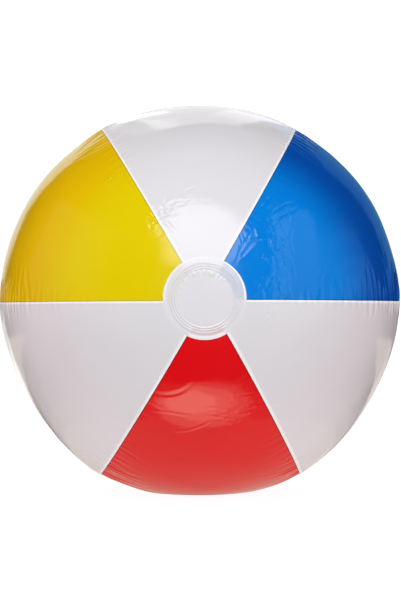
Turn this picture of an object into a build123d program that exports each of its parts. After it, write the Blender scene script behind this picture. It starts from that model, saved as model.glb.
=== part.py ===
from build123d import *
import os
from math import degrees, sqrt

# Inflatable beach ball of welded film, in millimetres, drawn blown up and standing on a floor.
# +Z is up, and +Y runs from the front pole to the rear pole, where the valve is.
# The origin is the middle of the flat patch that the ball rests on.

# Whole ball, over the coloured film
ball_width = 384.0
ball_depth = 374.0
patch_radius = 50.0

# Film gores and the round discs welded over their tips
film = 0.25
film_gap = 0.02
gore_count = 6
weld_margin = 3.0
gore_tip_radius = 24.0
disc_radius = 36.0

# Valve base, welded to the rear disc
flange_radius = 18.0
flange_thickness = 0.9
valve_hole_radius = 10.5
skirt_wall = 0.6
skirt_top = -0.35

# Valve stem, pushed in: its mouth is level with the flange
stem_radius = 5.0
bore_radius = 3.3
mouth_radius = 3.8
mouth_depth = 5.2
stem_length = 14.0
foot_ring_radius = 6.0
foot_ring_height = 1.6
ear_reach = 8.8
ear_width = 4.0
ear_thickness = 1.0

# Plug, which hangs from the stem's ear on a short strap
moving_gap = 0.3
cap_radius = 5.2
cap_thickness = 1.4
cap_rounding = 0.5
stopper_length = 4.5
stopper_root_radius = 3.72
stopper_tip_radius = 2.4
strap_width = 3.6
strap_thickness = 0.9
strap_pivot = 8.4
pull_tab_reach = 8.2
pull_tab_width = 4.4

# Flap that closes the stem's inner end
flap_radius = 4.4
flap_thickness = 0.4
flap_hinge_width = 5.0
flap_pivot = 4.9
lug_reach = 5.5
lug_depth = 1.0

half_width = ball_width / 2
half_depth = ball_depth / 2
centre_height = sqrt(half_width**2 - patch_radius**2)
gore_angle = 360 / gore_count
gore_sweep = gore_angle + 2 * degrees(weld_margin / half_width)
layer_pitch = film + film_gap
flange_face = half_depth + 2 * layer_pitch + film_gap + flange_thickness

# The valve's own frame: X is up, Z points out of the ball, and the flange's face is at Z = 0.
valve_frame = Plane(origin=(0, flange_face, centre_height), x_dir=(0, 0, 1), z_dir=(0, 1, 0))


def half_section(offset, inner_radius, outer_radius, low=-ball_depth, high=ball_depth):
    """The ball's section grown by offset, X out from the poles' axis, within the given limits."""
    ellipse = Rot(0, 0, 180) * Ellipse(half_width + offset, half_depth + offset)
    width = outer_radius - inner_radius
    window = Pos((inner_radius + outer_radius) / 2, (low + high) / 2) * Rectangle(width, high - low)
    return ellipse & window


def turned(section, middle_angle, sweep):
    """Turns a section about the poles' axis, with its middle at an angle from +X towards +Z."""
    piece = revolve(section, Axis.Y, sweep)
    return Pos(0, 0, centre_height) * (Rot(0, -middle_angle - sweep / 2, 0) * piece)


def gore(middle_angle, layer):
    """One film gore, whose two tips end under the polar discs. Layer 1 laps over layer 0."""
    outer = layer * layer_pitch
    outside = half_section(outer, gore_tip_radius, ball_width)
    inside = half_section(outer - film, 0, ball_width)
    return turned(outside - inside, middle_angle, gore_sweep)


def resting_gore(middle_angle):
    """The gore under the ball, pressed flat where it meets the floor."""
    outside = turned(half_section(0, gore_tip_radius, ball_width), middle_angle, gore_sweep)
    inside = turned(half_section(-film, 0, ball_width), middle_angle, gore_angle * 2)
    outside = split(outside, bisect_by=Plane.XY, keep=Keep.TOP)
    inside = split(inside, bisect_by=Plane.XY.offset(film), keep=Keep.TOP)
    return outside - inside


def pole_skin(inner_radius, outer_radius, under, thickness, end):
    """Round skin over a pole: end is -1 for the front pole and 1 for the rear one."""
    low, high = sorted((0, end * ball_depth))
    outside = half_section(under + thickness, inner_radius, outer_radius, low, high)
    inside = half_section(under, 0, ball_width)
    return turned(outside - inside, 0, 360)


def front_disc():
    """Plain disc over the gore tips at the front pole."""
    return pole_skin(0, disc_radius, layer_pitch + film_gap, film, -1)


def rear_disc():
    """Disc over the gore tips at the rear pole, with the valve's hole."""
    return pole_skin(valve_hole_radius, disc_radius, layer_pitch + film_gap, film, 1)


def valve_flange():
    """Ring that is welded to the rear disc and carries the valve."""
    under = 2 * layer_pitch + film_gap
    return pole_skin(valve_hole_radius, flange_radius, under, flange_thickness, 1)


def valve_skirt():
    """Thin cone that joins the flange to the stem's foot and turns out when the stem is pulled."""
    top = valve_hole_radius - film_gap
    foot = foot_ring_radius + moving_gap
    foot_level = foot_ring_height / 2 - stem_length
    outline = Polyline(
        (top, skirt_top),
        (top - skirt_wall, skirt_top),
        (foot, foot_level),
        (foot + skirt_wall, foot_level),
        close=True,
    )
    return revolve(Plane.XZ * make_face(outline), Axis.Z)


def bar(start, end, width, low, high):
    """Flat bar along the valve's X, with its width along Y."""
    middle = Pos((start + end) / 2, 0, (low + high) / 2)
    return middle * Box(end - start, width, high - low)


def rod_across(radius, width, reach, level):
    """Round rod along the valve's Y, which rounds a bar's end or marks a bend line."""
    return Pos(reach, 0, level) * (Rot(90, 0, 0) * Cylinder(radius, width))


def disc_between(radius, low, high):
    """Disc about the valve's axis."""
    return Pos(0, 0, low) * Cylinder(radius, high - low, align=(Align.CENTER, Align.CENTER, Align.MIN))


def valve_stem():
    """Tube with a wide mouth for the plug and a narrower bore that grips the pump's nozzle."""
    tube = disc_between(stem_radius, -stem_length, 0)
    foot = disc_between(foot_ring_radius, -stem_length, foot_ring_height - stem_length)
    ear = bar(bore_radius, ear_reach, ear_width, -ear_thickness, 0)
    lug_top = -stem_length + foot_ring_height / 2
    lug = bar(lug_reach, foot_ring_radius, flap_hinge_width, -stem_length - lug_depth, lug_top)
    lug = lug & disc_between(foot_ring_radius, -stem_length - lug_depth, 0)
    body = tube + foot + ear + lug - disc_between(bore_radius, -2 * stem_length, 0)
    return body - disc_between(mouth_radius, -mouth_depth, stem_length)


def valve_plug():
    """Cap with its tapered stopper and the tab that a fingernail lifts."""
    cap = disc_between(cap_radius, moving_gap, moving_gap + cap_thickness)
    cap = fillet(cap.edges().sort_by(Axis.Z)[-1], cap_rounding)
    stopper_height = stopper_length + moving_gap
    stopper = Cone(stopper_tip_radius, stopper_root_radius, stopper_height)
    stopper = Pos(0, 0, moving_gap - stopper_height / 2) * stopper
    tab_top = moving_gap + strap_thickness
    tab = bar(-pull_tab_reach, 0, pull_tab_width, moving_gap, tab_top)
    tab = fillet(tab.edges().filter_by(Axis.Z).group_by(Axis.X)[0], pull_tab_width / 3)
    return cap + tab + stopper


def plug_strap():
    """Strap from the cap to its bend line over the stem's ear."""
    level = moving_gap + strap_thickness / 2
    strap = bar(0, strap_pivot, strap_width, moving_gap, moving_gap + strap_thickness)
    strap = strap + rod_across(strap_thickness / 2, strap_width, strap_pivot, level)
    return strap - disc_between(cap_radius + film_gap, 0, 2 * cap_thickness)


def valve_flap():
    """Soft disc, hung at its top edge, that air in the ball holds against the stem."""
    top = -stem_length - moving_gap
    low = top - flap_thickness
    disc = disc_between(flap_radius, low, top)
    hanger = bar(0, flap_pivot, flap_hinge_width, low, top)
    edge = rod_across(flap_thickness / 2, flap_hinge_width, flap_pivot, (low + top) / 2)
    return disc + hanger + edge


def in_valve(piece):
    """Moves a valve piece from the valve's frame to the ball's."""
    return valve_frame.location * piece


film_parts = {
    "yellow_gore": gore(150, 0),
    "top_white_gore": gore(90, 1),
    "blue_gore": gore(30, 0),
    "right_white_gore": gore(330, 1),
    "red_gore": resting_gore(270),
    "left_white_gore": gore(210, 1),
    "front_disc": front_disc(),
    "rear_disc": rear_disc(),
}
valve_parts = {
    "valve_flange": valve_flange(),
    "valve_skirt": in_valve(valve_skirt()),
    "valve_stem": in_valve(valve_stem()),
    "valve_plug": in_valve(valve_plug()),
    "plug_strap": in_valve(plug_strap()),
    "valve_flap": in_valve(valve_flap()),
}

os.makedirs("parts", exist_ok=True)
for node, piece in {**film_parts, **valve_parts}.items():
    export_step(piece, f"parts/{node}.step")
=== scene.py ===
import math

import bpy
import numpy as np
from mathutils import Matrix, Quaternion, Vector


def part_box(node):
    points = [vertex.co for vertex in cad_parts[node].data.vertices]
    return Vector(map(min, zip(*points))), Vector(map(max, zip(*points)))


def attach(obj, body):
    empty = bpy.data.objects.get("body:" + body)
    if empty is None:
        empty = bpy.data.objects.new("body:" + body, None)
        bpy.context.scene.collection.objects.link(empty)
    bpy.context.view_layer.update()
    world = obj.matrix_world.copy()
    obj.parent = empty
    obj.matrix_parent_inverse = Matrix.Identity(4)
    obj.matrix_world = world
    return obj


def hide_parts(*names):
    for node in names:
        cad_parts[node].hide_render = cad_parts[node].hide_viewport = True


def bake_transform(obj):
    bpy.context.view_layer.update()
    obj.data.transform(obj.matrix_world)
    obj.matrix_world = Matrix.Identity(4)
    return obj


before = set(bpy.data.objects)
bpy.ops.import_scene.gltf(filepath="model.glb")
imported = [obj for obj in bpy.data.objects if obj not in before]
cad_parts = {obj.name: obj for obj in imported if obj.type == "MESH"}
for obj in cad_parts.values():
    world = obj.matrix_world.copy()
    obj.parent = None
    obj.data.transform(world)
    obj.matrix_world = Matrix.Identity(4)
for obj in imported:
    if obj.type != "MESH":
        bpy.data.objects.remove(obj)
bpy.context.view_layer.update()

# ---------------------------------------------------------------- sizes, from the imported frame
disc_low, disc_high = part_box("front_disc")
gore_low, gore_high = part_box("blue_gore")

CENTRE = Vector((0.0, 0.0, (disc_low.z + disc_high.z) / 2))
HALF_WIDTH = gore_high.x
# The front disc's face stands this far in front of the even ball's pole.
DISC_STANDS_OUT = 0.0008
HALF_DEPTH = -disc_low.y - DISC_STANDS_OUT
DISC_RADIUS = (disc_high.x - disc_low.x) / 2
MERIDIAN = math.pi * (HALF_WIDTH + HALF_DEPTH) / 2

# The gores' turn about the poles' axis, and the radius at which their tips end under the discs.
GORE_DEGREES = 60
GORE_TURN = math.radians(GORE_DEGREES)
SEAM_ANGLES = [math.radians(GORE_DEGREES * k) for k in range(6)]
TIP_RADIUS = DISC_RADIUS * 2 / 3

# Films: how thick they are, how far each lies above the next one down, and how far a coloured film
# runs on under the white ones.
FILM = 0.00025
LAYER = 0.00045
UNDERLAP = 0.005

# How wide a disc's weld shows bright, and the radii of the rear disc's hole for the valve and of the
# pinhole in the front disc's grid.
DISC_WELD = 0.0018
VALVE_HOLE = 0.0105
PINHOLE = 0.0002

# How far the white film's edge reaches over the coloured film past each seam's plane: by the discs
# and at the waist.
LAPS = [
    (0.0005, -0.0006),
    (-0.0034, -0.0034),
    (0.0011, 0.0009),
    (-0.0006, -0.0018),
    (0.0013, 0.0),
    (-0.0016, 0.0011),
]

# Painted highlight: how wide the white film is painted bright along each seam, by its welded edge.
SEAM_HIGHLIGHT_WIDTHS = [0.0019, 0.0019, 0.0017, 0.0017, 0.0023, 0.0027]

# The front disc is a little larger than the rear one and welded on a little off the pole, to the
# left and up.
FRONT_DISC_RADIUS = DISC_RADIUS + 0.0008
FRONT_DISC_SHIFT = (-0.0008, 0.0021)

# How far the skin stands proud of the even ball round its waist, every 30 degrees from +X.
SWELL = [
    -0.0008, -0.0012, -0.0036, -0.0043, -0.0024, 0.0,
    0.0010, -0.0018, 0.0008, 0.0, 0.0003, -0.0026,
]

# The softly filled skin's long waves: how many, their lengths, and their height as a share of that.
WAVE_COUNT = 34
WAVE_LENGTHS = (0.018, 0.11)
WAVE_SHARE = 0.0009

# Depth of the folds across each seam against the others, and how far towards the poles they reach.
PUCKERS = [(2.0, 0.50), (1.2, 0.36), (1.1, 0.38), (1.2, 0.48), (1.4, 0.38), (1.3, 0.34)]

# The folds across the seams: depth, widths, reaches to each side, the gaps between them, how far
# from the poles they start, and the share of the reach on the coloured and on the white film.
PUCKER_DEPTH = 0.0010
PUCKER_WIDTHS = (0.0015, 0.0030)
PUCKER_REACHES = (0.010, 0.038)
PUCKER_GAPS = (0.0055, 0.0110)
PUCKER_START = 0.035
COLOURED_SHARE, WHITE_SHARE = 1.1, 0.55

# How the folds differ: their depth by the poles against the waist, the range of depths, the reach
# of the weakest against the strongest, and the spread of their tilt and bow.
PUCKER_LEAST = 0.05
PUCKER_DEPTHS = (0.2, 1.0)
PUCKER_SHORTEST = 0.35
PUCKER_TILT, PUCKER_BOW = 0.12, 5.0

# A fold is worked out this far to each side of its seam, and this far along the seam.
SEAM_BAND = 0.060
FOLD_BAND = 0.022

# Clusters of crinkles: theta and phi of the middle in degrees, how far they spread along and across
# their own direction, how many, that direction from the meridian, and their half length and depth.
CRINKLES = [
    (28, 109, 0.017, 0.005, 18, -86, 0.0050, 0.00034),
    (26, 121, 0.010, 0.006, 18, 8, 0.0060, 0.00024),
    (47, 128, 0.002, 0.002, 3, -73, 0.0045, 0.00044),
    (33, 50, 0.007, 0.007, 9, 5, 0.0110, 0.00028),
    (45, 52, 0.003, 0.003, 6, 10, 0.0045, 0.00046),
    (24, 32, 0.015, 0.008, 24, 50, 0.0045, 0.00022),
    (18, 55, 0.006, 0.0025, 6, 3, 0.0070, 0.00036),
    (20, 12, 0.010, 0.008, 8, 70, 0.0060, 0.00016),
    (33, 284, 0.012, 0.010, 7, 75, 0.0120, 0.00016),
    (20, 345, 0.012, 0.010, 8, 60, 0.0060, 0.00012),
    (150, 40, 0.016, 0.012, 14, 30, 0.0090, 0.00024),
    (146, 215, 0.018, 0.012, 12, 70, 0.0080, 0.00022),
    (152, 300, 0.014, 0.010, 12, 20, 0.0100, 0.00024),
]

# How the folds of a cluster differ from its row: the spread of their direction and bow, and the
# ranges of their length and depth.
CRINKLE_TURN, CRINKLE_BOW = 0.32, 7.0
CRINKLE_LENGTHS = (0.5, 1.3)
CRINKLE_DEPTHS = (0.4, 1.3)

# The depth of crinkles from which the film between them is crinkled through and through.
FULLY_CRINKLED = 0.00026

# Small folds scattered all over the ball: how many, how far towards the poles as a share of the
# way, their half lengths, the spread of their bow, and their depths.
SCATTER_COUNT = 170
SCATTER_END = 0.96
SCATTER_LENGTHS = (0.004, 0.014)
SCATTER_BOW = 9.0
SCATTER_DEPTHS = (0.00002, 0.00007)

# Width of a short fold, and the half length at which a fold is twice as wide.
FOLD_WIDTHS = (0.0008, 0.0014)
TWICE_AS_WIDE = 0.03

# Long single creases: theta and phi of the middle and the direction in degrees, half length, bow
# and depth.
CREASES = [
    (27, 252, 125, 0.015, 9.0, 0.00022),
    (33, 254, 100, 0.014, -7.0, 0.00018),
    (38, 262, 112, 0.016, 6.0, 0.00026),
    (36, 268, 118, 0.012, 5.0, 0.00016),
    (30, 274, 80, 0.012, -8.0, 0.00012),
    (52, 262, 95, 0.020, 3.0, 0.00014),
    (40, 150, 60, 0.012, 6.0, 0.00010),
    (140, 100, 70, 0.018, 5.0, 0.00020),
    (138, 255, 110, 0.020, -5.0, 0.00022),
]

# Weld rings of a polar disc: their radii as shares of the disc's, their height and their width.
RING_SHARES = (0.730, 0.790, 0.850)
RING_HEIGHT = 0.00058
RING_WIDTH = 0.018

# The disc's rim: where it starts to fall, over what width, both as shares, and how far it falls.
RIM_START, RIM_WIDTH = 0.955, 0.045
RIM_FALL = 0.00030

# Small puckers just inside the rings: the turn from one to the next, their width as a turn, their
# place as a share of the radius, their depth and their half length.
HUB_GAPS = (0.12, 0.30)
HUB_WIDTHS = (0.035, 0.06)
HUB_PLACES = (0.60, 0.67)
HUB_DEPTHS = (0.00050, 0.00110)
HUB_LENGTH = 0.0021

# They are deepest at the top: the turn to the top, how far round they stay deep, and the share of
# the depth that is left elsewhere.
HUB_TOP, HUB_TOP_SPREAD, HUB_LEAST = 1.55, 0.75, 0.12

# The bead that the welding leaves just inside a white film's edge: height, place and width.
BEAD = (0.00022, 0.0016, 0.0009)

COLOURS = {
    "yellow": (0.760, 0.592, 0.001),
    "blue": (0.0008, 0.210, 0.690),
    "red": (0.750, 0.0050, 0.0085),
    "white": (0.732, 0.722, 0.742),
    "milky": (0.745, 0.735, 0.755),
    # Painted highlight along a white film's welded edge.
    "white_seam_highlight": (0.92, 0.92, 0.92),
    "milky_weld": (0.92, 0.93, 0.95),
    "valve": (0.82, 0.82, 0.82),
    "flap": (0.70, 0.70, 0.68),
}

# Painted shade: the share of each colour channel that is left where a coloured film is painted
# darkest, at the ball's waist.
WAIST_PAINTED_SHADE = {"yellow": (1.0, 0.82, 1.0), "blue": (1.0, 0.34, 0.56), "red": (0.97, 1.0, 1.0)}


# ---------------------------------------------------------------- the blown-up shape
def ball_point(theta, phi):
    """Point on the even ball: theta runs from the front pole, phi turns from +X towards +Z."""
    ring = HALF_WIDTH * np.sin(theta)
    return np.stack(
        [ring * np.cos(phi), -HALF_DEPTH * np.cos(theta), CENTRE.z + ring * np.sin(phi)], axis=-1
    )


def ball_normal(theta, phi):
    """Outward direction of the even ball."""
    normal = np.stack(
        [
            np.sin(theta) * np.cos(phi) / HALF_WIDTH,
            -np.cos(theta) / HALF_DEPTH,
            np.sin(theta) * np.sin(phi) / HALF_WIDTH,
        ],
        axis=-1,
    )
    return normal / np.linalg.norm(normal, axis=-1, keepdims=True)


def wrapped(angle):
    """Angle brought between -pi and pi."""
    return (angle + math.pi) % (2 * math.pi) - math.pi


def swell(theta, phi):
    """Slow rise and fall of the skin round the ball, none at the poles."""
    count = len(SWELL)
    place = np.mod(phi, 2 * math.pi) / math.radians(360 / count)
    before = np.floor(place).astype(int) % count
    blend = 0.5 - 0.5 * np.cos((place - np.floor(place)) * math.pi)
    amounts = np.array(SWELL)
    total = amounts[before] * (1 - blend) + amounts[(before + 1) % count] * blend
    return total * np.sin(theta) ** 2


def slow_waves(point):
    """Gentle unevenness of a softly filled skin, as a sum of long waves."""
    rng = np.random.default_rng(7)
    total = np.zeros(point.shape[:-1])
    for _ in range(WAVE_COUNT):
        direction = rng.normal(size=3)
        direction /= np.linalg.norm(direction)
        length = rng.uniform(*WAVE_LENGTHS)
        phase = rng.uniform(0, 2 * math.pi)
        total += length * np.sin(point @ direction * (2 * math.pi / length) + phase)
    return total * WAVE_SHARE


def fold(across, along, width, reach_back, reach_on):
    """Height of one small fold: a valley with two soft shoulders that fades along its length."""
    x = (across / width) ** 2
    reach = np.where(along < 0, reach_back, reach_on)
    fade = 2.4
    return -(1 - x) * np.exp(-x / 2) * np.exp(-np.abs(along / reach) ** fade)


def seam_puckers(theta, phi):
    """Folds that cross each seam, deepest near the ball's waist and longer on the coloured film."""
    total = np.zeros_like(theta)
    arc = theta / math.pi * MERIDIAN
    for k, (seam, (deeper, spread)) in enumerate(zip(SEAM_ANGLES, PUCKERS)):
        rng = np.random.default_rng(100 + k)
        side = HALF_WIDTH * np.sin(theta) * wrapped(phi - seam)
        near = (np.abs(side) < SEAM_BAND) & (np.cos(phi - seam) > 0)
        s, d = arc[near], side[near]
        height = np.zeros_like(s)
        shares = (WHITE_SHARE, COLOURED_SHARE) if k % 2 == 0 else (COLOURED_SHARE, WHITE_SHARE)
        start = PUCKER_START
        while start < MERIDIAN - PUCKER_START:
            from_waist = (start - MERIDIAN / 2) / (MERIDIAN / 2)
            near_waist = math.exp(-((from_waist / spread) ** 2))
            strength = PUCKER_LEAST + (1 - PUCKER_LEAST) * near_waist
            depth = strength * deeper * rng.uniform(*PUCKER_DEPTHS) * PUCKER_DEPTH
            width = rng.uniform(*PUCKER_WIDTHS)
            longer = PUCKER_SHORTEST + (1 - PUCKER_SHORTEST) * strength
            back, on = rng.uniform(*PUCKER_REACHES, 2) * longer
            tilt, bow = rng.normal(0, PUCKER_TILT), rng.normal(0, PUCKER_BOW)
            here = np.abs(s - start) < FOLD_BAND
            across = s[here] - start - tilt * d[here] - bow * d[here] ** 2
            height[here] += depth * fold(across, d[here], width, back * shares[0], on * shares[1])
            start += rng.uniform(*PUCKER_GAPS)
        total[near] += height
    return total


def crinkle_list(rng):
    """Every small fold as theta, phi, direction, half length, bow and depth."""
    folds = []
    for middle, turn, spread_along, spread_across, count, direction, length, depth in CRINKLES:
        for _ in range(count):
            angle = math.radians(direction) + rng.normal(0, CRINKLE_TURN)
            along, across = rng.normal(0, spread_along), rng.normal(0, spread_across)
            x = along * math.cos(angle) - across * math.sin(angle)
            y = along * math.sin(angle) + across * math.cos(angle)
            theta = math.radians(middle) + x / HALF_WIDTH
            phi = math.radians(turn) + y / (HALF_WIDTH * math.sin(theta))
            reach = length * rng.uniform(*CRINKLE_LENGTHS)
            bow = rng.normal(0, CRINKLE_BOW)
            folds.append((theta, phi, angle, reach, bow, depth * rng.uniform(*CRINKLE_DEPTHS)))
    for _ in range(SCATTER_COUNT):
        theta = math.acos(rng.uniform(-SCATTER_END, SCATTER_END))
        phi = rng.uniform(0, 2 * math.pi)
        angle, reach = rng.uniform(0, math.pi), rng.uniform(*SCATTER_LENGTHS)
        bow = rng.normal(0, SCATTER_BOW)
        folds.append((theta, phi, angle, reach, bow, rng.uniform(*SCATTER_DEPTHS)))
    for middle, turn, direction, reach, bow, depth in CREASES:
        theta, phi, angle = math.radians(middle), math.radians(turn), math.radians(direction)
        folds.append((theta, phi, angle, reach, bow, depth))
    return folds


def crinkles(theta, phi):
    """Short folds in clusters, long creases, and a thin scatter of folds all over the ball."""
    rng = np.random.default_rng(41)
    total = np.zeros_like(theta)
    for centre_theta, centre_phi, angle, length, bow, depth in crinkle_list(rng):
        width = rng.uniform(*FOLD_WIDTHS) * (1 + length / TWICE_AS_WIDE)
        x = (theta - centre_theta) * HALF_WIDTH
        felt = 2.2 * length + 0.006
        near = np.abs(x) < felt
        y = HALF_WIDTH * math.sin(centre_theta) * wrapped(phi[near] - centre_phi)
        x = x[near]
        along = x * math.cos(angle) + y * math.sin(angle)
        across = -x * math.sin(angle) + y * math.cos(angle) - bow * along**2
        total[near] += depth * fold(across, along, width, length, length)
    return total


def crinkled_share(theta, phi):
    """How crinkled the film is at each point: 1 in the middle of a cluster, 0 away from them all."""
    total = np.zeros_like(theta)
    # The film is crinkled a little way past the folds' own spread.
    times, past = 1.5, 0.004
    for middle, turn, spread_along, spread_across, _, direction, _, depth in CRINKLES:
        x = (theta - math.radians(middle)) * HALF_WIDTH
        y = HALF_WIDTH * math.sin(math.radians(middle)) * wrapped(phi - math.radians(turn))
        angle = math.radians(direction)
        along = x * math.cos(angle) + y * math.sin(angle)
        across = -x * math.sin(angle) + y * math.cos(angle)
        reach_along, reach_across = times * spread_along + past, times * spread_across + past
        far = (along / reach_along) ** 2 + (across / reach_across) ** 2
        total += np.exp(-far) * min(depth / FULLY_CRINKLED, 1.0)
    return np.clip(total, 0, 1)


def hub_relief(radius, phi, pole):
    """Weld rings pressed into a polar disc, with small puckers just inside the inner one."""
    rings = np.zeros_like(radius)
    for share in RING_SHARES:
        rings += RING_HEIGHT * np.exp(-(((radius / DISC_RADIUS - share) / RING_WIDTH) ** 2))
    rim = -RIM_FALL * np.clip((radius / DISC_RADIUS - RIM_START) / RIM_WIDTH, 0, 1) ** 2
    rng = np.random.default_rng(5 + (pole > 0))
    puckers = np.zeros_like(radius)
    turn = 0.0
    while turn < 2 * math.pi - HUB_GAPS[0]:
        width = rng.uniform(*HUB_WIDTHS)
        inner = DISC_RADIUS * rng.uniform(*HUB_PLACES)
        from_top = wrapped(turn - HUB_TOP) / HUB_TOP_SPREAD
        strength = HUB_LEAST + (1 - HUB_LEAST) * math.exp(-(from_top**2))
        depth = rng.uniform(*HUB_DEPTHS) * strength
        across = (wrapped(phi - turn) / width) ** 2
        puckers += depth * np.exp(-across) * np.exp(-(((radius - inner) / HUB_LENGTH) ** 2))
        turn += rng.uniform(*HUB_GAPS)
    return rings + rim + puckers


def floor_pressed(point):
    """Presses the skin flat on the floor, with a soft turn at the patch's edge."""
    turn = 0.0022
    height = point[..., 2]
    pressed = point.copy()
    pressed[..., 2] = (height + np.sqrt(height**2 + turn**2)) / 2
    return pressed


def skin(theta, phi, lift, extra=0.0):
    """Outer face of a film that stands lift above the coloured film."""
    even = ball_point(theta, phi)
    relief = swell(theta, phi) + slow_waves(even) + seam_puckers(theta, phi) + crinkles(theta, phi)
    ease = np.clip((HALF_WIDTH * np.sin(theta) - VALVE_HOLE) / DISC_RADIUS, 0, 1)
    height = relief * np.where(np.cos(theta) < 0, ease, 1.0) + lift + extra
    return floor_pressed(even + ball_normal(theta, phi) * height[..., None])


# ---------------------------------------------------------------- meshes
def grid_normals(grid, ring):
    """Unit normals of a grid of points, pointing out of the ball."""
    down = np.gradient(grid, axis=0)
    if ring:
        padded = np.concatenate([grid[:, -1:], grid, grid[:, :1]], axis=1)
        across = np.gradient(padded, axis=1)[:, 1:-1]
    else:
        across = np.gradient(grid, axis=1)
    normal = np.cross(down, across)
    normal /= np.linalg.norm(normal, axis=-1, keepdims=True) + 1e-12
    outward = grid - np.array(CENTRE)
    return normal * np.sign(np.sum(normal * outward, axis=-1, keepdims=True))


def quads(rows, columns, ring):
    """Quad corners of a grid, as indices."""
    wrap = columns if ring else columns - 1
    i, j = np.meshgrid(np.arange(rows - 1), np.arange(wrap), indexing="ij")
    following = (j + 1) % columns
    here, below = i * columns, (i + 1) * columns
    corners = [here + j, below + j, below + following, here + following]
    return np.stack(corners, axis=-1).reshape(-1, 4)


def film_object(name, outer, fields, thickness=FILM, ring=False, flip=False):
    """Closed film of even thickness from its outer face. fields are named values or colours."""
    rows, columns = outer.shape[:2]
    inner = outer - grid_normals(outer, ring) * thickness
    points = np.concatenate([outer.reshape(-1, 3), inner.reshape(-1, 3)])
    count = rows * columns
    top = quads(rows, columns, ring)
    bottom = top[:, ::-1] + count
    edges = [np.arange(columns), (rows - 1) * columns + np.arange(columns)[::-1]]
    if ring:
        edges = [np.append(edges[0], 0), np.append(edges[1], edges[1][0])]
    else:
        edges.append(np.arange(rows)[::-1] * columns)
        edges.append(np.arange(rows) * columns + columns - 1)
    sides = [np.stack([e[:-1], e[1:], e[1:] + count, e[:-1] + count], axis=-1) for e in edges]
    faces = np.concatenate([top, bottom] + sides)
    if flip:
        faces = faces[:, ::-1]
    mesh = bpy.data.meshes.new(name)
    mesh.from_pydata(points.tolist(), [], faces.tolist())
    for field, values in fields.items():
        if values.ndim == 3:
            attribute = mesh.attributes.new(field, "FLOAT_COLOR", "POINT")
            attribute.data.foreach_set("color", np.tile(values.reshape(-1, 4), (2, 1)).ravel())
        else:
            attribute = mesh.attributes.new(field, "FLOAT", "POINT")
            attribute.data.foreach_set("value", np.tile(values.ravel(), 2))
    mesh.polygons.foreach_set("use_smooth", np.ones(len(faces), bool))
    mesh.set_sharp_from_angle(angle=math.radians(50))
    mesh.validate()
    piece = bpy.data.objects.new(name, mesh)
    bpy.context.scene.collection.objects.link(piece)
    return piece


def lap(theta, seam):
    """How far the white film laps over the coloured one at a seam."""
    by_disc, at_waist = LAPS[seam % 6]
    start, run, ease = 0.25, 0.7, 1.6
    share = np.clip((np.sin(theta) - start) / run, 0, 1) ** ease
    return by_disc + (at_waist - by_disc) * share


def gore_edges(theta, index):
    """Turning angles of the two edges of the white film at the seams beside one gore."""
    ring = HALF_WIDTH * np.sin(theta)
    sign = 1 if index % 2 else -1
    low = SEAM_ANGLES[index] - sign * lap(theta, index) / ring
    high = SEAM_ANGLES[index] + GORE_TURN + sign * lap(theta, index + 1) / ring
    return low, high


def gore(name, index, node):
    """One film gore. White gores lap over the coloured ones, which reach on under them."""
    rows, columns = ((462, 107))
    over = index % 2 == 1
    tip = math.asin(TIP_RADIUS / HALF_WIDTH)
    # Rows lie closer together in front, where the fine crinkles are, by this share.
    closer = 0.38
    down = np.linspace(0, 1, rows)
    down -= closer * np.sin(math.pi * down) / math.pi
    theta = (tip + (math.pi - 2 * tip) * down)[:, None] * np.ones((1, columns))
    ring = HALF_WIDTH * np.sin(theta)
    low, high = gore_edges(theta, index)
    under = 0.0 if over else UNDERLAP / ring
    # Columns lie closer together by the seams.
    straight, curved = 0.7, 0.3
    even = np.linspace(-1, 1, columns)[None, :]
    share = 0.5 + 0.5 * (straight * even + curved * np.sin(even * math.pi / 2))
    phi = (low - under) * (1 - share) + (high + under) * share
    from_edge = np.minimum(phi - low, high - phi) * ring
    height, place, width = BEAD
    bead = height * np.exp(-(((from_edge - place) / width) ** 2)) if over else 0.0
    outer = skin(theta, phi, LAYER if over else 0.0, bead)
    waist = np.degrees(np.minimum(theta, math.pi - theta))
    # Widths of the painted highlight along the two seams beside this gore.
    low_highlight_width, high_highlight_width = SEAM_HIGHLIGHT_WIDTHS[index], SEAM_HIGHLIGHT_WIDTHS[(index + 1) % 6]
    weld_place = np.minimum((phi - low) / low_highlight_width, (high - phi) / high_highlight_width) * ring
    fields = {"from_edge": from_edge, "weld_place": weld_place, "waist": waist}
    fields["crinkled"] = crinkled_share(theta, phi)
    piece = film_object(name, outer, fields)
    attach(piece, "ball")
    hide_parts(node)
    return piece


def tint_below(theta, phi):
    """Colour of the gore tip under each point of a polar disc, and how bright its weld shows there."""
    coloured = np.zeros(theta.shape)
    tint = np.ones(theta.shape + (4,))
    tint[..., :3] = np.array(COLOURS["white"])
    ring = HALF_WIDTH * np.sin(theta)
    side_blur, tip_blur = 0.002, 0.003
    for index, name, shown, bright in (
        (0, "blue", 1.0, 1.0),
        (2, "yellow", 0.3, 0.4),
        (4, "red", 1.0, 1.0),
    ):
        low, high = gore_edges(theta, index)
        turned = low + np.mod(phi - low, 2 * math.pi)
        below_high = np.clip((high - turned) * ring / side_blur, 0, 1)
        inside = below_high * np.clip((turned - low) * ring / side_blur, 0, 1)
        share = inside * np.clip((ring - TIP_RADIUS) / tip_blur, 0, 1)
        coloured = np.maximum(coloured, share * bright)
        tint[..., :3] += (np.array(COLOURS[name]) - tint[..., :3]) * share[..., None] * shown
    return tint, coloured


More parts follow.
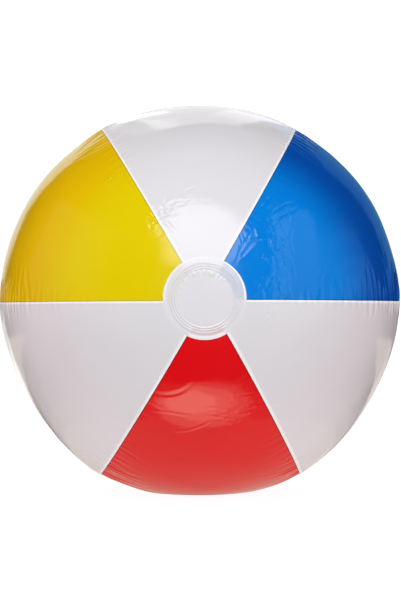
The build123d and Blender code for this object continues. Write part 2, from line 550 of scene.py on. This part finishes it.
def polar_disc(name, pole, inner_radius, node):
    """Round film over the gore tips at one pole: pole is -1 in front and 1 behind."""
    rows, columns = ((90, 300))
    outer_radius = FRONT_DISC_RADIUS if pole < 0 else DISC_RADIUS
    # The grid has no middle point, so the front disc keeps a pinhole there.
    start = max(inner_radius, PINHOLE)
    radius = np.linspace(start, outer_radius, rows)[:, None] * np.ones((1, columns))
    turn = np.linspace(0, 2 * math.pi, columns, endpoint=False)[None, :] * np.ones((rows, 1))
    shift_x, shift_z = FRONT_DISC_SHIFT if pole < 0 else (0.0, 0.0)
    x, z = radius * np.cos(turn) + shift_x, radius * np.sin(turn) + shift_z
    theta, phi = np.arcsin(np.hypot(x, z) / HALF_WIDTH), np.arctan2(z, x)
    if pole > 0:
        theta = math.pi - theta
    outer = skin(theta, phi, 2 * LAYER, hub_relief(radius, turn, pole))
    tint, coloured = tint_below(theta, phi)
    # The weld is widest at the bottom and narrowest at the top.
    weld = DISC_WELD * (1.35 - 0.65 * np.sin(turn) - 0.15 * np.cos(turn))
    weld_place = (outer_radius - radius) / weld
    fields = {"weld_place": weld_place, "tint": tint, "coloured": coloured}
    piece = film_object(name, outer, fields, ring=True, flip=pole < 0)
    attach(piece, "ball")
    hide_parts(node)
    return piece


def soft_skirt(name, node):
    """Soft cone from the valve's flange to the stem's foot."""
    low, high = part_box(node)
    stem_low, stem_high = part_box("valve_stem")
    rows, columns, wall = 40, 96, 0.0006
    share = np.linspace(0, 1, rows)[:, None]
    turn = np.linspace(0, 2 * math.pi, columns, endpoint=False)[None, :]
    bite = 0.00005
    foot, top = stem_high.x - bite, high.x - wall
    pleat, pleat_count, twist = 0.00010, 10, 2
    ripple, ripple_count = 0.00012, 6
    pleats = pleat * np.sin(pleat_count * turn + twist * share)
    pleats = pleats + ripple * np.sin(ripple_count * math.pi * share)
    radius = foot + (top - foot) * share + pleats * np.sin(math.pi * share)
    level = low.y + (high.y - low.y) * share + 0.0 * turn
    outer = np.stack([radius * np.cos(turn), level, CENTRE.z + radius * np.sin(turn)], axis=-1)
    piece = film_object(name, outer, {}, thickness=wall, ring=True)
    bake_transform(piece)
    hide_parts(node)
    return piece


# ---------------------------------------------------------------- materials
class Nodes:
    """Short hand for building one material's nodes."""

    def __init__(self, name):
        self.material = bpy.data.materials.new(name)
        self.material.use_nodes = True
        self.tree = self.material.node_tree
        self.shader = self.tree.nodes["Principled BSDF"]

    def add(self, kind, **values):
        node = self.tree.nodes.new(kind)
        for key, value in values.items():
            if hasattr(node, key):
                setattr(node, key, value)
            else:
                node.inputs[key.replace("_", " ")].default_value = value
        return node

    def link(self, source, target):
        self.tree.links.new(source, target)

    def noise(self, scale, detail=2.0):
        texture = self.add("ShaderNodeTexNoise", Scale=scale, Detail=detail)
        place = self.add("ShaderNodeTexCoord").outputs["Object"]
        self.link(place, texture.inputs["Vector"])
        return texture.outputs["Fac"]

    def ranged(self, value, low, high, to_low, to_high):
        node = self.add("ShaderNodeMapRange", interpolation_type="SMOOTHSTEP")
        self.link(value, node.inputs["Value"])
        ends = {"From Min": low, "From Max": high, "To Min": to_low, "To Max": to_high}
        for key, number in ends.items():
            node.inputs[key].default_value = number
        return node.outputs["Result"]

    def mixed(self, factor, first, second):
        node = self.add("ShaderNodeMix", data_type="RGBA")
        for place, value in ((0, factor), (6, first), (7, second)):
            socket = node.inputs[place]
            if isinstance(value, bpy.types.NodeSocket):
                self.link(value, socket)
            else:
                socket.default_value = value
        return node.outputs[2]

    def bump(self, height, strength, distance, before=None):
        node = self.add("ShaderNodeBump", Strength=strength, Distance=distance)
        self.link(height, node.inputs["Height"])
        if before:
            self.link(before, node.inputs["Normal"])
        return node.outputs["Normal"]


def rgba(colour, factor=1.0):
    """Colour with full alpha, darkened or lightened by factor."""
    return tuple(min(c * factor, 1.0) for c in colour) + (1.0,)


def vinyl(nodes, roughness_low=0.08, roughness_high=0.14):
    """Gloss and fine surface of soft vinyl film."""
    shader = nodes.shader
    shader.inputs["IOR"].default_value = 1.50
    roughness = nodes.ranged(nodes.noise(28.0, 3.0), 0.3, 0.7, roughness_low, roughness_high)
    nodes.link(roughness, shader.inputs["Roughness"])
    fine = nodes.bump(nodes.noise(420.0, 2.0), 0.05, 0.0004)
    wavy = nodes.bump(nodes.noise(75.0, 2.0), 0.10, 0.0007, fine)
    crinkled = nodes.add("ShaderNodeAttribute", attribute_name="crinkled").outputs["Fac"]
    ragged = nodes.add("ShaderNodeMath", operation="MULTIPLY")
    nodes.link(nodes.noise(190.0, 3.0), ragged.inputs[0])
    nodes.link(crinkled, ragged.inputs[1])
    nodes.link(nodes.bump(ragged.outputs[0], 0.55, 0.0016, wavy), shader.inputs["Normal"])
    return shader


def coloured_film(name, colour, waist_painted_shade, shadow_line_strength):
    """Coloured vinyl film with painted shade, darker round the ball's waist, and a painted shadow in a
    thin line beside the white film.
    """
    nodes = Nodes(name)
    shader = vinyl(nodes)
    tone = nodes.mixed(nodes.noise(9.0, 2.0), rgba(colour, 0.95), rgba(colour, 1.05))
    waist = nodes.add("ShaderNodeAttribute", attribute_name="waist").outputs["Fac"]
    waist_shaded_colour = rgba([c * d for c, d in zip(colour, waist_painted_shade)])
    # Painted shade: degrees from the nearer pole at which the film starts to be painted darker and at
    # which it is fully so.
    starts, done = 35.0, 58.0
    tone = nodes.mixed(nodes.ranged(waist, starts, done, 0.0, 1.0), tone, waist_shaded_colour)
    # Painted shadow: a thin dark line on the coloured film just beside the white film's edge.
    distance = nodes.add("ShaderNodeAttribute", attribute_name="from_edge").outputs["Fac"]
    shadow_line = nodes.ranged(distance, 0.0002, 0.0013, shadow_line_strength, 0.0)
    shadowed_tone = nodes.mixed(shadow_line, tone, rgba(colour, 0.15))
    nodes.link(shadowed_tone, shader.inputs["Base Color"])
    return nodes.material


def white_film(name, colour):
    """White vinyl film with a painted highlight along its welded edges."""
    nodes = Nodes(name)
    shader = vinyl(nodes)
    tone = nodes.mixed(nodes.noise(7.0, 2.0), rgba(colour, 0.98), rgba(colour, 1.02))
    place = nodes.add("ShaderNodeAttribute", attribute_name="weld_place").outputs["Fac"]
    # Painted highlight: the film is painted near white across the weld by its edge.
    highlight_share = nodes.ranged(place, 0.5, 1.5, 1.0, 0.0)
    weld = rgba(COLOURS["white_seam_highlight"])
    nodes.link(nodes.mixed(highlight_share, tone, weld), shader.inputs["Base Color"])
    return nodes.material


def milky_film(name, colour):
    """Milky film that lets a little of the gore tips' colour show, brighter along its weld."""
    nodes = Nodes(name)
    shader = vinyl(nodes, 0.11, 0.18)
    tone = nodes.mixed(nodes.noise(30.0, 2.0), rgba(colour, 0.97), rgba(colour, 1.03))
    tint = nodes.add("ShaderNodeAttribute", attribute_name="tint").outputs["Color"]
    see_through = 0.17
    tinted = nodes.mixed(see_through, tone, tint)
    place = nodes.add("ShaderNodeAttribute", attribute_name="weld_place").outputs["Fac"]
    coloured = nodes.add("ShaderNodeAttribute", attribute_name="coloured").outputs["Fac"]
    weld = nodes.mixed(coloured, rgba(colour, 1.05), rgba(COLOURS["milky_weld"]))
    rim = nodes.ranged(place, 0.75, 1.15, 1.0, 0.0)
    nodes.link(nodes.mixed(rim, tinted, weld), shader.inputs["Base Color"])
    return nodes.material


def moulded_vinyl(name, colour):
    """Cloudy moulded soft vinyl of the valve."""
    nodes = Nodes(name)
    shader = vinyl(nodes, 0.18, 0.30)
    tone = nodes.mixed(nodes.noise(160.0, 3.0), rgba(colour, 0.92), rgba(colour, 1.03))
    nodes.link(tone, shader.inputs["Base Color"])
    shader.inputs["Subsurface Weight"].default_value = 0.25
    shader.inputs["Subsurface Radius"].default_value = (0.004, 0.004, 0.004)
    shader.inputs["Subsurface Scale"].default_value = 0.6
    return nodes.material


def floor_material():
    """Plain white floor that brightens away from the ball until it meets the white surroundings."""
    nodes = Nodes("floor_white")
    shader = nodes.shader
    shader.inputs["Base Color"].default_value = (0.10, 0.10, 0.10, 1.0)
    shader.inputs["Roughness"].default_value = 0.9
    shader.inputs["Specular IOR Level"].default_value = 0.0
    shader.inputs["Emission Color"].default_value = (1.0, 1.0, 1.0, 1.0)
    distance = nodes.add("ShaderNodeVectorMath", operation="LENGTH")
    nodes.link(nodes.add("ShaderNodeTexCoord").outputs["Object"], distance.inputs[0])
    strength = nodes.ranged(distance.outputs["Value"], 0.25, 1.2, 0.95, 1.05)
    nodes.link(strength, shader.inputs["Emission Strength"])
    return nodes.material


# ---------------------------------------------------------------- the ball
# Each coloured film gets painted shade round the waist and a painted shadow line of the given strength
# beside the white film.
yellow = coloured_film("yellow_vinyl", COLOURS["yellow"], WAIST_PAINTED_SHADE["yellow"], 0.45)
blue = coloured_film("blue_vinyl", COLOURS["blue"], WAIST_PAINTED_SHADE["blue"], 0.85)
red = coloured_film("red_vinyl", COLOURS["red"], WAIST_PAINTED_SHADE["red"], 0.80)
white = white_film("white_vinyl", COLOURS["white"])
milky = milky_film("milky_vinyl", COLOURS["milky"])
valve_vinyl = moulded_vinyl("valve_soft_vinyl", COLOURS["valve"])
flap_vinyl = moulded_vinyl("flap_soft_vinyl", COLOURS["flap"])

GORES = [
    ("blue_film", 0, "blue_gore", blue, "blue_film"),
    ("top_white_film", 1, "top_white_gore", white, "white_film"),
    ("yellow_film", 2, "yellow_gore", yellow, "yellow_film"),
    ("left_white_film", 3, "left_white_gore", white, "white_film"),
    ("red_film", 4, "red_gore", red, "red_film"),
    ("right_white_film", 5, "right_white_gore", white, "white_film"),
]
for piece_name, gore_index, cad_node, material, slot_name in GORES:
    film = gore(piece_name, gore_index, cad_node)
    film.data.materials.append(material)

for piece_name, end, hole, cad_node in (
    ("front_disc_film", -1, 0.0, "front_disc"),
    ("rear_disc_film", 1, VALVE_HOLE, "rear_disc"),
):
    film = polar_disc(piece_name, end, hole, cad_node)
    film.data.materials.append(milky)

skirt = soft_skirt("soft_skirt", "valve_skirt")
skirt.data.materials.append(valve_vinyl)

for node, material in (
    ("valve_flange", valve_vinyl),
    ("valve_stem", valve_vinyl),
    ("valve_plug", valve_vinyl),
    ("plug_strap", valve_vinyl),
    ("valve_flap", flap_vinyl),
):
    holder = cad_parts[node]
    holder.data.materials.clear()
    holder.data.materials.append(material)


# ---------------------------------------------------------------- studio
# How far apart the floor, the plane that the ball rests on, and the lamp and cards over it lie.
LEVEL = 0.0003


def studio_floor():
    """Plain pale round floor. Lamps and cards stand in for the light it throws back on the ball."""
    floor_white = floor_material()
    near_reach, far_reach = 0.30, 3.0
    steps = 96
    turns = [2 * math.pi * k / steps for k in range(steps)]
    near = [(near_reach * math.cos(t), near_reach * math.sin(t), 0.0) for t in turns]
    far = [(far_reach * math.cos(t), far_reach * math.sin(t), 0.0) for t in turns]
    around = [(k, steps + k, steps + (k + 1) % steps, (k + 1) % steps) for k in range(steps)]
    for name, points, faces in (
        ("floor_near", near, [tuple(range(steps))]),
        ("floor_far", near + far, around),
    ):
        mesh = bpy.data.meshes.new(name)
        mesh.from_pydata(points, [], faces)
        mesh.materials.append(floor_white)
        floor = bpy.data.objects.new(name, mesh)
        bpy.context.scene.collection.objects.link(floor)
        floor.location.z = -LEVEL
        floor.visible_glossy = False
        floor.visible_diffuse = False


def area_light(name, width, height, radiance, colour=(1, 1, 1)):
    """Rectangular light whose face is as bright as radiance says, hidden from the camera."""
    light = bpy.data.lights.new(name, "AREA")
    light.shape = "RECTANGLE"
    light.size, light.size_y = width, height
    light.energy = radiance * math.pi * width * height
    light.color = colour
    lamp = bpy.data.objects.new(name, light)
    bpy.context.scene.collection.objects.link(lamp)
    lamp.visible_camera = False
    return lamp


def aim(lamp, azimuth, elevation, distance, roll=0.0):
    """Places a light round the ball, facing it. Azimuth 0 is behind the camera and 90 is right."""
    a, e = math.radians(azimuth), math.radians(elevation)
    out = Vector((math.sin(a) * math.cos(e), -math.cos(a) * math.cos(e), math.sin(e)))
    offset = out * distance
    lamp.location = CENTRE + offset
    turned = (-offset).to_track_quat("-Z", "Y") @ Quaternion((0, 0, 1), math.radians(roll))
    lamp.rotation_euler = turned.to_euler()


def lighting():
    """Soft lights that light the ball but don't show in its gloss."""
    cool, warm, plain = (0.97, 1.0, 1.03), (1.0, 0.80, 0.80), (1.0, 1.0, 1.0)
    for name, azimuth, elevation, distance, size, radiance, colour in (
        ("key", 0, 36, 1.8, 1.35, 2.65, cool),
        ("fill", 0, 2, 2.2, 1.6, 2.3, cool),
        ("left_side", -96, 4, 1.5, 1.8, 1.45, warm),
        ("right_side", 92, 0, 1.5, 1.8, 1.00, warm),
        ("behind", 180, 30, 1.8, 1.8, 1.0, plain),
    ):
        lamp = area_light(name, size, size, radiance, colour)
        aim(lamp, azimuth, elevation, distance)
        lamp.visible_glossy = False
    # The light that the floor throws back, from a lamp just over it.
    bounce = area_light("bounce", 0.42, 0.56, 0.56, (1.0, 0.89, 0.90))
    bounce.location = (0.0, 0.0, LEVEL)
    bounce.rotation_euler = (math.pi, 0.0, 0.0)
    bounce.visible_glossy = False


def gloss_card(name, width, height, radiance, shape="RECTANGLE", colour=(1, 1, 1)):
    """Card that shows in the ball's gloss but doesn't light it."""
    card = area_light(name, width, height, radiance, colour)
    card.data.shape = shape
    card.visible_diffuse = False
    return card


def reflections():
    """The window and the cards whose images lie in the ball's gloss."""
    plain, cyan, blue_sky = (1.0, 1.0, 1.0), (0.85, 1.25, 1.15), (0.6, 1.6, 3.0)
    for name, azimuth, elevation, distance, width, height, radiance, roll, shape, colour in (
        ("window", 0, 34, 1.5, 1.20, 1.20, 1.3, 0, "ELLIPSE", plain),
        ("window_middle", 0, 34, 1.55, 1.05, 0.98, 1.3, 0, "ELLIPSE", plain),
        ("right_card", 45, 18, 1.60, 0.34, 1.80, 0.50, -12, "RECTANGLE", cyan),
        ("wide_right_card", 54, 18, 1.65, 0.84, 1.80, 0.40, -12, "RECTANGLE", cyan),
        ("left_card", -82, 12, 1.6, 1.7, 1.63, 0.10, 0, "RECTANGLE", plain),
        ("low_right_card", 92, 5.0, 1.70, 0.95, 0.30, 0.12, 0, "RECTANGLE", blue_sky),
        ("middle_right_card", 90.5, 8.2, 1.72, 1.05, 0.50, 0.12, 0, "RECTANGLE", blue_sky),
        ("tall_right_card", 89, 12.5, 1.74, 1.15, 0.76, 0.10, 0, "RECTANGLE", blue_sky),
        ("left_backdrop", 198, 11, 1.8, 0.82, 1.55, 0.90, 0, "RECTANGLE", (0.92, 1.03, 0.97)),
        ("low_right_backdrop", 162, -12, 1.8, 0.90, 0.66, 0.2, 0, "RECTANGLE", plain),
        ("right_backdrop", 150, 22, 1.8, 0.90, 1.15, 0.30, 0, "RECTANGLE", (0.25, 0.80, 1.40)),
        ("top_backdrop", 178, 37, 1.75, 0.744, 1.38, 1.10, 0, "RECTANGLE", plain),
        ("top_right_backdrop", 166, 37, 1.85, 0.46, 0.75, 0.40, 0, "RECTANGLE", plain),
        ("high_backdrop", 199.5, 46, 1.9, 0.36, 0.81, 0.60, 0, "RECTANGLE", plain),
    ):
        card = gloss_card(name, width, height, radiance, shape, colour)
        aim(card, azimuth, elevation, distance, roll)
    # Cards just over the floor, one above the other so that their images add up with soft edges.
    sunny = (1.14, 1.0, 0.80)
    for level, (name, across, middle, width, depth, radiance, shape) in enumerate((
        ("low_card_middle", -0.020, -0.224, 0.100, 0.056, 0.80, "ELLIPSE"),
        ("low_card", -0.010, -0.225, 0.145, 0.090, 0.72, "ELLIPSE"),
        ("low_card_wide", -0.004, -0.226, 0.185, 0.122, 0.62, "ELLIPSE"),
        ("floor_glow_middle", 0.0, 0.0, 0.40, 0.38, 0.18, "ELLIPSE"),
        ("floor_glow", 0.0, 0.0, 0.52, 0.48, 0.14, "ELLIPSE"),
        ("floor_glow_wide", 0.0, 0.0, 0.66, 0.58, 0.10, "ELLIPSE"),
        ("floor_behind", 0.0, 0.82, 1.60, 0.97, 0.58, "RECTANGLE"),
    )):
        card = gloss_card(name, width, depth, radiance, shape, sunny)
        card.location = (across, middle, 2 * LEVEL + LEVEL * level)
        card.rotation_euler = (math.pi, 0.0, 0.0)


def studio_world():
    """White to the camera, dark in the gloss, and a dim warm grey to everything else."""
    world = bpy.data.worlds.new("studio")
    bpy.context.scene.world = world
    world.use_nodes = True
    tree = world.node_tree
    output = tree.nodes["World Output"]
    path = tree.nodes.new("ShaderNodeLightPath")
    around = tree.nodes["Background"]
    around.inputs["Color"].default_value = (1.0, 0.94, 0.94, 1.0)
    around.inputs["Strength"].default_value = 0.33
    last = around.outputs[0]
    for ray, strength in (("Is Glossy Ray", 0.005), ("Is Camera Ray", 1.05)):
        seen = tree.nodes.new("ShaderNodeBackground")
        seen.inputs["Strength"].default_value = strength
        seen.inputs["Color"].default_value = (1.0, 1.0, 1.0, 1.0)
        mix = tree.nodes.new("ShaderNodeMixShader")
        tree.links.new(path.outputs[ray], mix.inputs[0])
        tree.links.new(last, mix.inputs[1])
        tree.links.new(seen.outputs[0], mix.inputs[2])
        last = mix.outputs[0]
    tree.links.new(last, output.inputs["Surface"])


def studio_camera():
    """Long lens at the height of the ball's middle, a little to one side of the poles' axis."""
    distance = 2.0
    data = bpy.data.cameras.new("camera")
    camera = bpy.data.objects.new("camera", data)
    bpy.context.scene.collection.objects.link(camera)
    side = math.radians(-1.4)
    camera.location = CENTRE + Vector((math.sin(side) * distance, -math.cos(side) * distance, 0.0))
    camera.rotation_euler = (CENTRE - camera.location).to_track_quat("-Z", "Y").to_euler()
    data.sensor_fit = "HORIZONTAL"
    # The frame is this much wider than the even ball.
    room = 1.0085
    half_view = math.asin(HALF_WIDTH / distance) * room
    data.angle = 2 * half_view
    bpy.context.scene.camera = camera


studio_floor()
studio_world()
studio_camera()
lighting()
reflections()
bpy.context.scene.view_settings.view_transform = "Standard"
